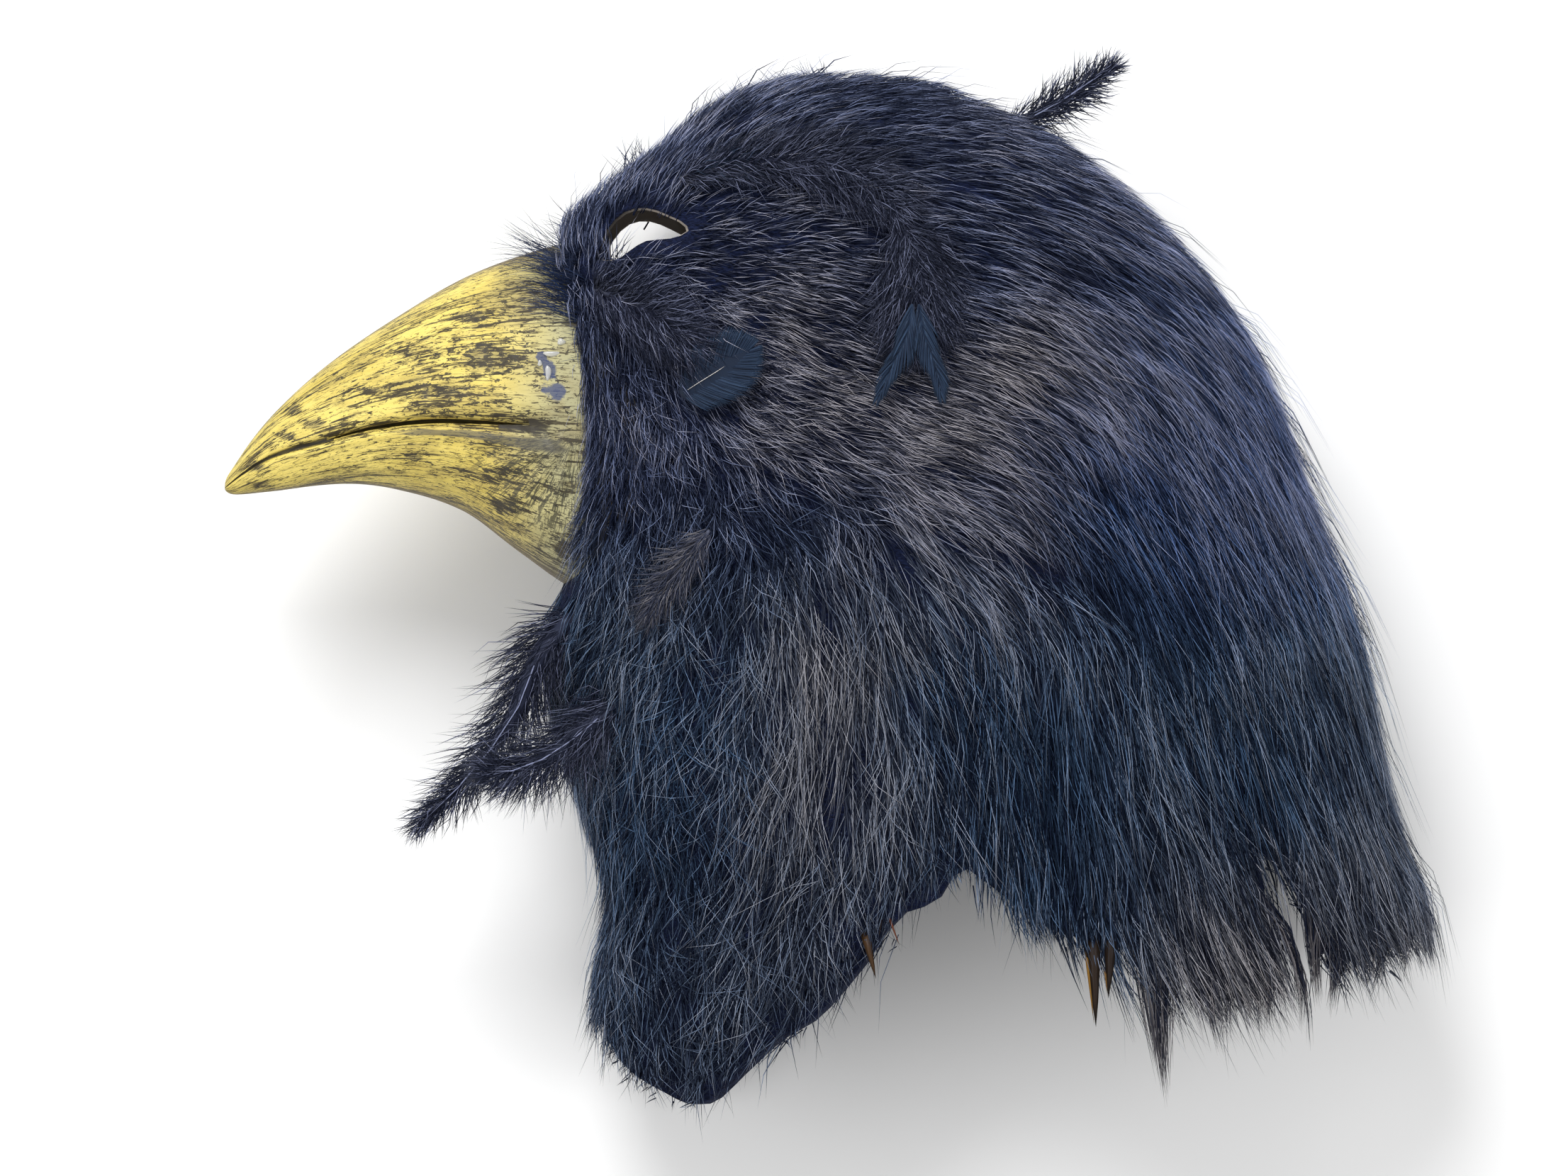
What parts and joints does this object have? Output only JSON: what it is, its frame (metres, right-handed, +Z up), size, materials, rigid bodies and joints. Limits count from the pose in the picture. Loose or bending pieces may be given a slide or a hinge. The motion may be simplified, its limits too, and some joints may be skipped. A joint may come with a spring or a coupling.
{
  "type": "raven mask",
  "caption": "Whole-head raven mask lying on its side: long yellow latex beak with dark scratches, black fur hood that hangs as a cape and bib, and small dark feathers.",
  "frame": {"origin": "on the floor, under the middle of the mask's box as it lies on its right cheek", "axes": "+X from the beak to the nape, +Y from the hem to the crown, +Z up, out of the left cheek"},
  "size_m": [0.5158, 0.4462, 0.1943],
  "materials": {
    "latex": "yellow latex, dry-brushed black, satin",
    "fur": "black-blue fake fur",
    "feather": "dark blue feathers with a slight sheen",
    "fluff": "grey-beige down"
  },
  "bodies": {
    "root": {"latex_beak": "latex", "latex_head": "latex", "fur_left": "fur", "fur_right": "fur", "brow_plume": "feather", "ear_plume": "feather", "cheek_plume": "feather", "cheek_feather": "feather", "jaw_plume": "fluff", "crown_feather": "feather", "throat_feather_upper": "feather", "throat_feather_lower": "feather"}
  },
  "joints": []
}
